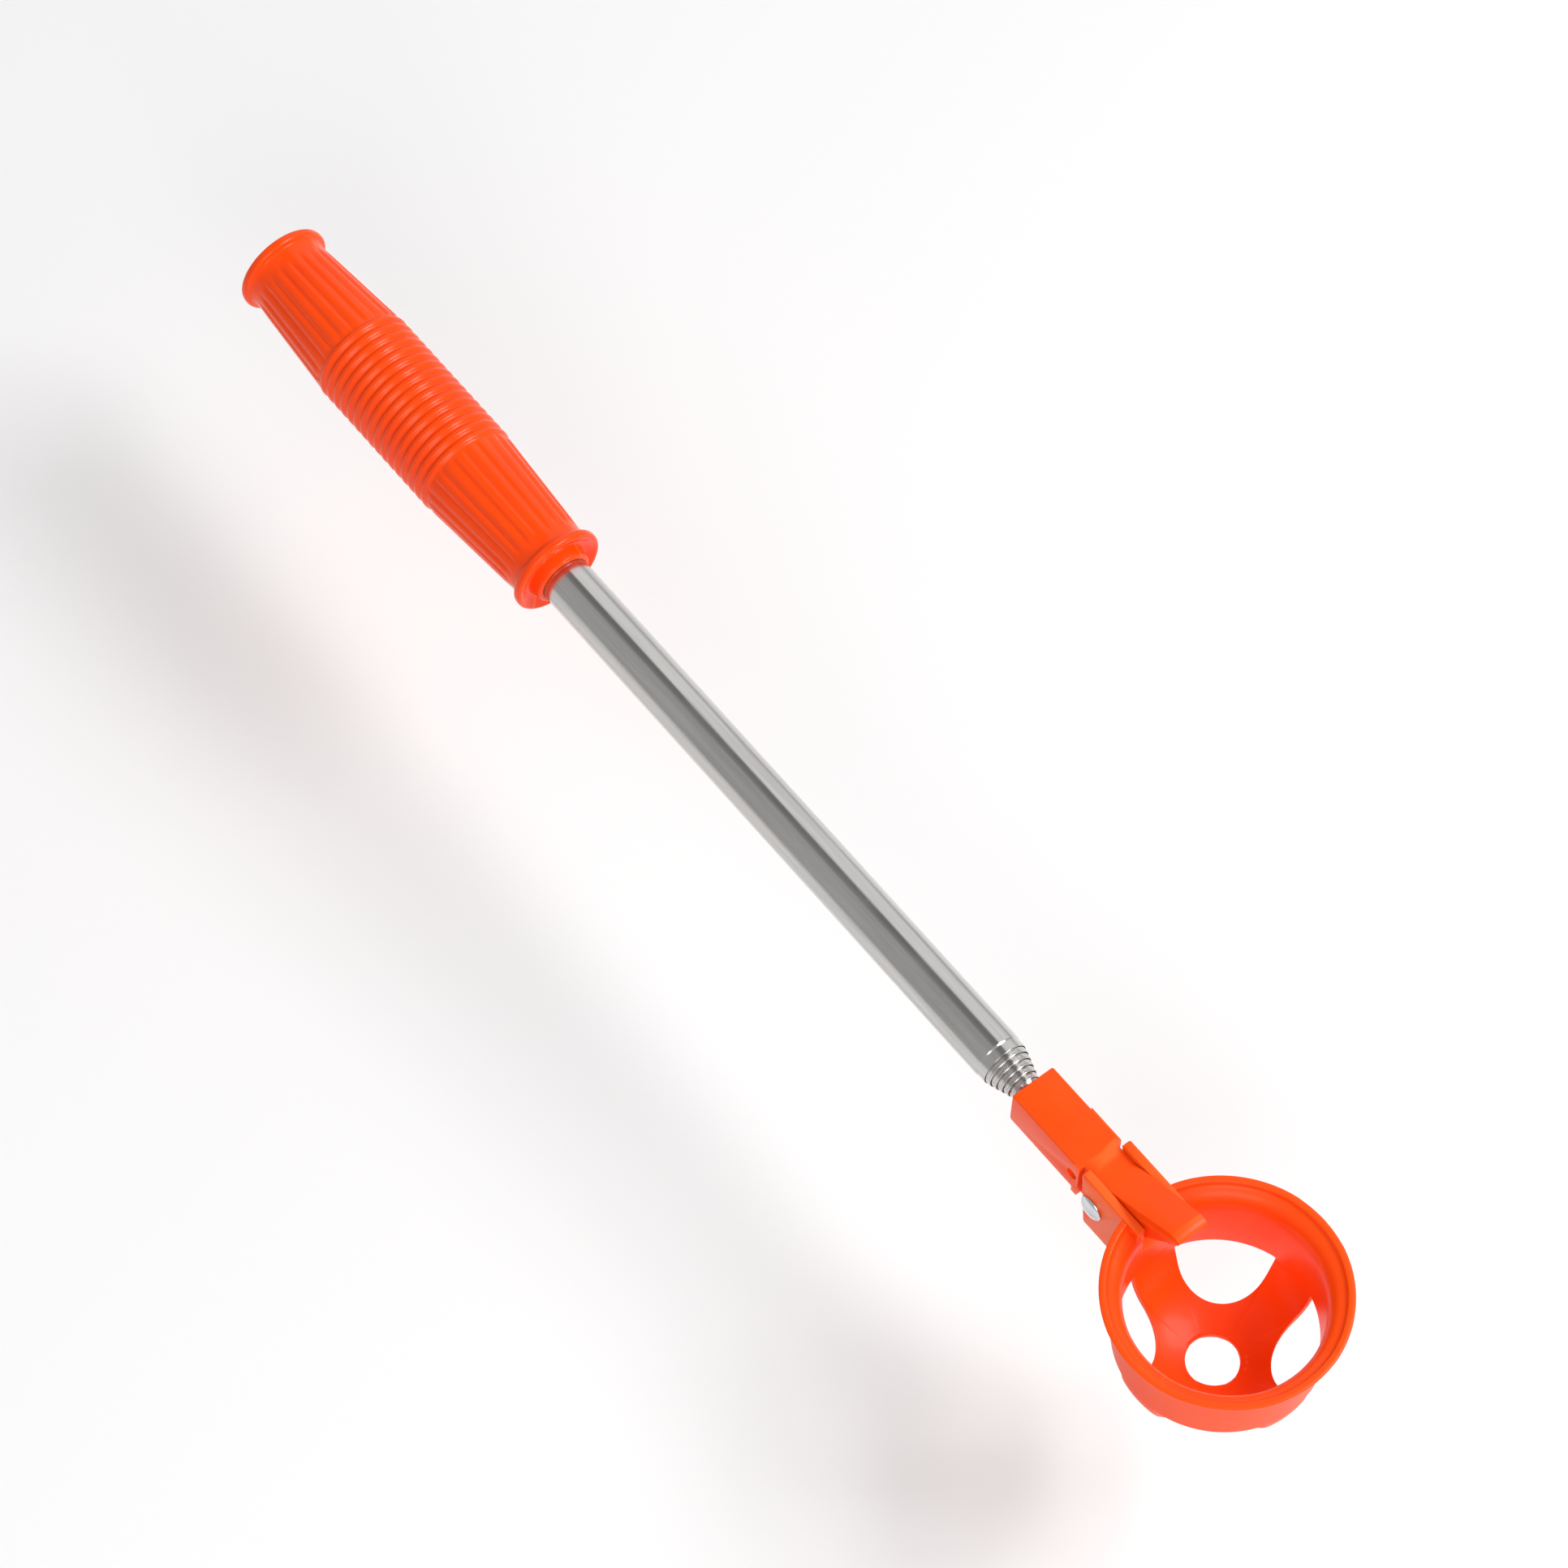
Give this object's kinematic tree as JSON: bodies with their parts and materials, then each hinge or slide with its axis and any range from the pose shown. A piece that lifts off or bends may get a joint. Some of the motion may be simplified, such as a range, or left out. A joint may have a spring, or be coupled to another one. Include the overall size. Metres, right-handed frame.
{
  "type": "telescopic fruit picker basket",
  "caption": "Hand-held telescopic steel pole with a ringed orange grip and a hinged orange cup with windows, a flared rim and a wedge tongue, for picking fruit.",
  "frame": {"origin": "centre of the grip, on the pole's axis", "axes": "+X along the pole from the grip to the cup; +Z the side the cup opens on; +Y along the cup's hinge axis"},
  "size_m": [0.4221, 0.0634, 0.0524],
  "materials": {
    "grip_orange": "glossy moulded",
    "head_orange": "satin moulded",
    "tube_steel": "polished",
    "rivet_steel": "bright plated",
    "bush_brass": "plain",
    "plug_plastic": "matte"
  },
  "bodies": {
    "handle": {"grip": "grip_orange", "outer_tube": "tube_steel", "rear_plug": "plug_plastic"},
    "section_2": {"tube_2": "tube_steel", "friction_bush_2": "bush_brass"},
    "section_3": {"tube_3": "tube_steel", "friction_bush_3": "bush_brass"},
    "section_4": {"tube_4": "tube_steel", "friction_bush_4": "bush_brass"},
    "section_5": {"tube_5": "tube_steel", "friction_bush_5": "bush_brass"},
    "section_6": {"tube_6": "tube_steel", "friction_bush_6": "bush_brass"},
    "section_7": {"friction_bush_7": "bush_brass"},
    "head": {"tube_7": "tube_steel", "neck": "head_orange", "neck_pin": "rivet_steel"},
    "picking_cup": {"cup": "head_orange", "rivet": "rivet_steel", "rivet_washer": "rivet_steel"}
  },
  "joints": [
    {"name": "section_2_slide", "type": "slide", "parent": "handle", "child": "section_2", "axis": [1, 0, 0], "range_m": [0, 0.255]},
    {"name": "section_3_slide", "type": "slide", "parent": "section_2", "child": "section_3", "axis": [1, 0, 0], "range_m": [0, 0.255]},
    {"name": "section_4_slide", "type": "slide", "parent": "section_3", "child": "section_4", "axis": [1, 0, 0], "range_m": [0, 0.255]},
    {"name": "section_5_slide", "type": "slide", "parent": "section_4", "child": "section_5", "axis": [1, 0, 0], "range_m": [0, 0.255]},
    {"name": "section_6_slide", "type": "slide", "parent": "section_5", "child": "section_6", "axis": [1, 0, 0], "range_m": [0, 0.255]},
    {"name": "section_7_slide", "type": "slide", "parent": "section_6", "child": "section_7", "axis": [1, 0, 0], "range_m": [0, 0.255]},
    {"name": "head_swivel", "type": "hinge", "parent": "section_7", "child": "head", "pos_m": [0.25, 0, 0], "axis": [1, 0, 0], "continuous": true},
    {"name": "cup_hinge", "type": "hinge", "parent": "head", "child": "picking_cup", "pos_m": [0.2877, 0, -0.002], "axis": [0, 1, 0], "range_deg": [-10.5, 34]}
  ]
}
